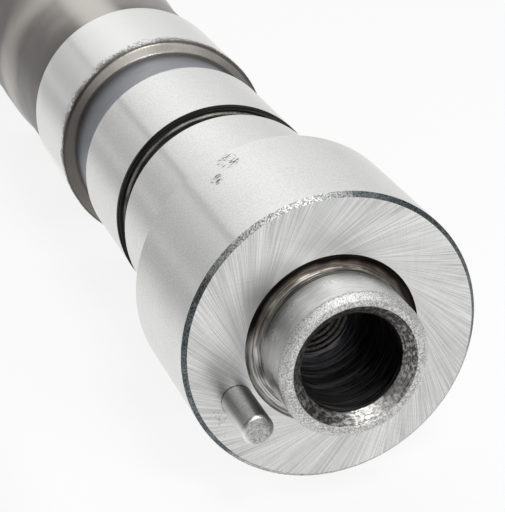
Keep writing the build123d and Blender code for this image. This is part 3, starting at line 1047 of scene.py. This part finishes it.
# (light colour, dark colour, roughness, size of the spots, relief) of each of its finishes
PIN_SETTINGS = {
    "pin_side": ((0.38, 0.38, 0.375), (0.24, 0.24, 0.24), 0.36, 0.22, 0.008),
    "pin_end": ((0.55, 0.55, 0.54), (0.25, 0.25, 0.245), 0.42, 0.32, 0.025),
    "pin_bevel": ((0.72, 0.72, 0.71), (0.5, 0.5, 0.49), 0.34, 0.3, 0.01),
}


def pin_finish(name, light, dark, roughness, size, relief):
    """Steel with small specks, with painted shade on the side next to the nose and a painted highlight on the
    far side.
    """
    finish = Finish(name, roughness)
    spots = finish.spots(size, PIN_SPOTS_DETAIL, PIN_SPOTS_ROUGH)
    color = finish.mix(finish.step(spots, *PIN_SPECKS), light, dark)
    x = finish.math("SUBTRACT", finish.x, PIN_CENTRE[0] / MM)
    z = finish.math("SUBTRACT", finish.z, PIN_CENTRE[1] / MM)
    across = finish.total(finish.product(x, PIN_PAINTED_SHADE_X), finish.product(z, PIN_PAINTED_SHADE_Z))
    near_nose = finish.math("DIVIDE", across, PIN / MM)
    # Painted shade on the side next to the nose, then a painted highlight on the far side.
    color = finish.mix(finish.step(near_nose, *PIN_PAINTED_SHADE_RISE), color, PIN_PAINTED_SHADE_COLOR)
    finish.color(finish.mix(finish.step(near_nose, *PIN_PAINTED_HIGHLIGHT_RISE), color, PIN_PAINTED_HIGHLIGHT_COLOR))
    finish.bump(spots, relief)
    return finish.made


def build_piece(name, rows, looks, segments, centre=(0.0, 0.0)):
    """A skin with a material for each of its finishes, in the order of looks."""
    piece = skin(name, rows, tuple(looks), segments, centre)
    for made in looks.values():
        piece.data.materials.append(made)
    return piece


def build_camshaft():
    looks = {
        "ground": journal_finish(), "face": face_finish(), "edge": edge_finish(), "nose": nose_finish(),
        "bevel": sandy_finish("bevel", *BEVEL_SETTINGS), "tip": sandy_finish("tip", *TIP_SETTINGS),
        "cone": cone_finish(), "undercut": undercut_finish(), "bore": bore_finish(), "thread": thread_finish(),
        "wall": wall_finish(), "fillet": fillet_finish(), "neck": neck_finish(), "cast": cast_finish(),
        "track": track_finish(),
    }
    rows = bore_rows() + gear_end_rows() + cam_section_rows() + rear_rows()
    piece = build_piece("camshaft_body", rows, looks, SEGMENTS)
    drill_dowel_hole(piece, tuple(looks))
    mark_cam_fronts(piece)
    keep_flats(piece)
    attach(piece, "root")
    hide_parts("camshaft")


def build_dowel_pin():
    looks = {name: pin_finish(name, *settings) for name, settings in PIN_SETTINGS.items()}
    piece = build_piece("dowel_pin_body", pin_rows(), looks, PIN_SEGMENTS, PIN_CENTRE)
    keep_flats(piece)
    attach(piece, "root")
    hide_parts("dowel_pin")


# Camera: the photograph's viewpoint, close to the gear end and looking down along the shaft. The face's centre
# lies this far right of, below and ahead of it, in radii of the front journal.
PHOTO_HEIGHT = 512
FOCAL_PIXELS = 1900.0
SENSOR = 36.0
CAMERA_DROP = math.radians(23.9)
CAMERA_HEADING = math.radians(18.7)
CAMERA_CLIP = (0.01, 50.0)
FACE_RIGHT, FACE_DOWN, FACE_AHEAD = 0.5099, 0.5308, 12.1005


def place_camera():
    ahead = Vector((math.sin(CAMERA_HEADING) * math.cos(CAMERA_DROP),
                    math.cos(CAMERA_HEADING) * math.cos(CAMERA_DROP), -math.sin(CAMERA_DROP)))
    right = Vector((math.cos(CAMERA_HEADING), -math.sin(CAMERA_HEADING), 0))
    up = right.cross(ahead)
    camera = bpy.data.objects.new("camera", bpy.data.cameras.new("camera"))
    camera.data.sensor_fit = "VERTICAL"
    camera.data.sensor_height = SENSOR
    camera.data.lens = FOCAL_PIXELS / PHOTO_HEIGHT * SENSOR
    camera.data.clip_start, camera.data.clip_end = CAMERA_CLIP
    place = JOURNAL * (FACE_DOWN * up - FACE_RIGHT * right - FACE_AHEAD * ahead)
    turn = Matrix((right, up, -ahead)).transposed().to_4x4()
    camera.matrix_world = Matrix.Translation(place) @ turn
    bpy.context.scene.collection.objects.link(camera)
    bpy.context.scene.camera = camera


# Studio: a pale sweep behind the shaft, darker towards the left, and a dim room in front of it with two soft
# lamps. The bells are (angle, reach, change of level).
SWEEP_LEVEL = 0.95
SWEEP_BELLS = ((88.0, 40.0, 0.18), (12.0, 32.0, -0.15), (136.0, 5.0, -0.3))
SWEEP_LEFT = (112.0, 176.0, 0.0, -0.42)
SWEEP_RISE = (-0.1, 0.45)
ROOM_LEVEL = 0.12
WHITE = (1.0, 1.0, 1.0)


def light_world():
    world = bpy.data.worlds.new("studio")
    bpy.context.scene.world = world
    world.use_nodes = True
    nodes = Nodes(world.node_tree)
    split = nodes.add("ShaderNodeSeparateXYZ")
    nodes.put(split.inputs[0], nodes.add("ShaderNodeTexCoord").outputs["Generated"])
    x, y, z = split.outputs
    turn = nodes.turn(x, z)
    changes = [nodes.product(nodes.bell(turn, middle, reach), change) for middle, reach, change in SWEEP_BELLS]
    sweep = nodes.total(SWEEP_LEVEL, *changes, nodes.step(turn, *SWEEP_LEFT))
    behind = nodes.step(y, *SWEEP_RISE)
    room = nodes.product(nodes.math("SUBTRACT", 1.0, behind), ROOM_LEVEL)
    background = world.node_tree.nodes["Background"]
    nodes.put(background.inputs["Color"], WHITE)
    nodes.put(background.inputs["Strength"], nodes.total(nodes.product(sweep, behind), room))


# (name, place, width, height, power) of each lamp, in metres and watts. They point at the gear face's centre.
LAMPS = (("overhead_lamp", (0.06, -0.45, 0.89), 0.3, 0.3, 3.1),
         ("front_lamp", (0.15, -0.9, 0.55), 1.5, 0.9, 7.0))


def add_lamp(name, place, width, height, power):
    light = bpy.data.lights.new(name, "AREA")
    light.shape = "RECTANGLE"
    light.size, light.size_y = width, height
    light.energy = power
    lamp = bpy.data.objects.new(name, light)
    lamp.location = place
    lamp.rotation_euler = (-Vector(place)).to_track_quat("-Z", "Y").to_euler()
    bpy.context.scene.collection.objects.link(lamp)


# The floor's band of painted shade lies left of the shaft: where it starts, is full, fades and ends, in mm.
FLOOR_REACH = 4.0
FLOOR_COLOR = (0.94, 0.94, 0.94)
FLOOR_PAINTED_SHADE_COLOR = (0.5, 0.5, 0.5)
FLOOR_PAINTED_SHADE_ACROSS = (-760.0, -320.0, -110.0, -40.0)
FLOOR_PAINTED_SHADE_ALONG = (-420.0, -60.0, 560.0, 1000.0)
FLOOR_ROUGHNESS = 0.9
FLOOR_OWN_LIGHT = 0.85


def build_floor():
    """A pale floor, mostly plain white under the object's shadow, with a soft band of painted shade beside the
    object.
    """
    mesh = bpy.data.meshes.new("floor")
    corners = [(x * FLOOR_REACH, y * FLOOR_REACH, -JOURNAL) for x, y in ((-1, -1), (1, -1), (1, 1), (-1, 1))]
    mesh.from_pydata(corners, [], [(0, 1, 2, 3)])
    floor = bpy.data.objects.new("floor", mesh)
    bpy.context.scene.collection.objects.link(floor)
    paint = Finish("floor_paint", FLOOR_ROUGHNESS, metallic=0.0)
    # A band of painted shade beside the shaft, darkening both the floor's colour and its glow.
    dim = paint.product(paint.plateau(paint.x, *FLOOR_PAINTED_SHADE_ACROSS), paint.plateau(paint.y, *FLOOR_PAINTED_SHADE_ALONG))
    paint.color(paint.mix(dim, FLOOR_COLOR, FLOOR_PAINTED_SHADE_COLOR))
    glow = paint.add("ShaderNodeEmission")
    paint.put(glow.inputs["Color"], paint.mix(dim, WHITE, FLOOR_PAINTED_SHADE_COLOR))
    rays = paint.add("ShaderNodeLightPath").outputs
    seen = paint.total(rays["Is Camera Ray"], rays["Is Glossy Ray"], rays["Is Transmission Ray"])
    blend = paint.add("ShaderNodeMixShader")
    paint.put(blend.inputs[0], paint.product(paint.math("MINIMUM", seen, 1.0), FLOOR_OWN_LIGHT))
    paint.put(blend.inputs[1], paint.shader.outputs[0])
    paint.put(blend.inputs[2], glow.outputs[0])
    paint.put(paint.tree.nodes["Material Output"].inputs["Surface"], blend.outputs[0])
    mesh.materials.append(paint.made)


build_camshaft()
build_dowel_pin()
place_camera()
light_world()
for settings in LAMPS:
    add_lamp(*settings)
build_floor()
bpy.context.scene.view_settings.view_transform = "Standard"
